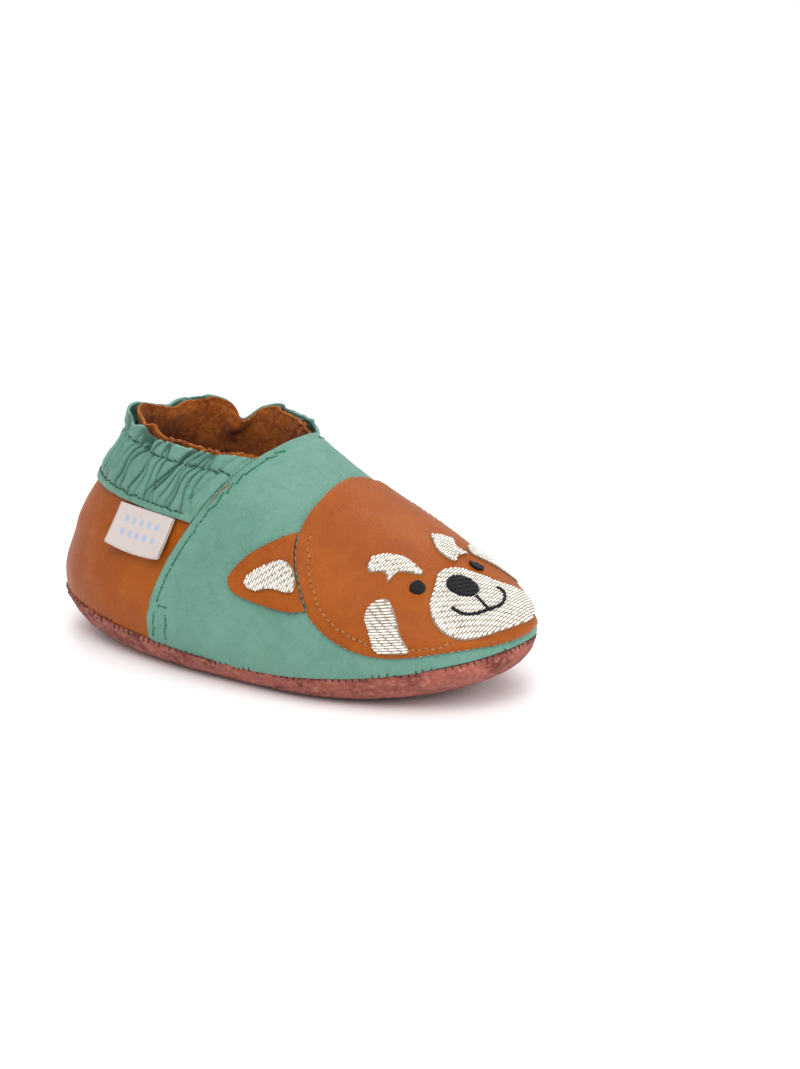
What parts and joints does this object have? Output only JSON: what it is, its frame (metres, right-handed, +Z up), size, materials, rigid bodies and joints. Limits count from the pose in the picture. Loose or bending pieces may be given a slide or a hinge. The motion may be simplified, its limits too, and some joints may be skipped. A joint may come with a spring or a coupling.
{
  "type": "baby bootie",
  "caption": "Soft-soled infant slipper shoe with an elastic ankle collar, a suede sole and an animal-face applique on the toe.",
  "frame": {"origin": "on the floor plane under the shoe, at the middle of its length", "axes": "+X towards the toe, +Z up out of the ankle opening, -Y the outer side with the label"},
  "size_m": [0.1356, 0.0657, 0.0572],
  "materials": {
    "sole_suede": "matt napped suede",
    "insole_fleece": "soft brushed textile",
    "green_leather": "soft fine-grained leather",
    "tan_leather": "soft fine-grained leather",
    "brown_suede": "napped suede",
    "elastic": "woven elastic band",
    "white_thread": "satin embroidery thread",
    "black_thread": "satin embroidery thread",
    "green_thread": "spun sewing thread",
    "dark_green_thread": "spun sewing thread",
    "brown_thread": "spun sewing thread",
    "label_fabric": "woven satin ribbon"
  },
  "bodies": {
    "upper": {"outsole": "sole_suede", "insole": "insole_fleece", "vamp": "green_leather", "vamp_lining": "brown_suede", "heel_quarter": "tan_leather", "face_applique": "tan_leather", "muzzle": "white_thread", "nose": "black_thread", "mouth": "black_thread", "vamp_topstitch": "green_thread", "sole_seam_thread": "brown_thread", "face_topstitch": "brown_thread", "ear_right": "tan_leather", "ear_embroidery_right": "white_thread", "eye_right": "black_thread", "brow_right": "white_thread", "cheek_right": "white_thread", "bartack_right": "green_thread", "ear_left": "tan_leather", "ear_embroidery_left": "white_thread", "eye_left": "black_thread", "brow_left": "white_thread", "cheek_left": "white_thread", "bartack_left": "green_thread"},
    "collar": {"collar_outer": "green_leather", "ankle_elastic": "elastic", "collar_lining": "brown_suede", "collar_top_stitch": "dark_green_thread", "collar_bottom_stitch": "dark_green_thread"},
    "label": {"label": "label_fabric"}
  },
  "joints": [
    {"name": "collar_stretch", "type": "slide", "parent": "upper", "child": "collar", "axis": [-1, 0, 0], "range_m": [0, 0.008], "stiffness_N_per_m": 250},
    {"name": "label_fold", "type": "hinge", "parent": "upper", "child": "label", "pos_m": [-0.03024, -0.02383, 0.03671], "axis": [-0.9826, 0.1845, 0.0234], "range_deg": [0, 80]}
  ]
}
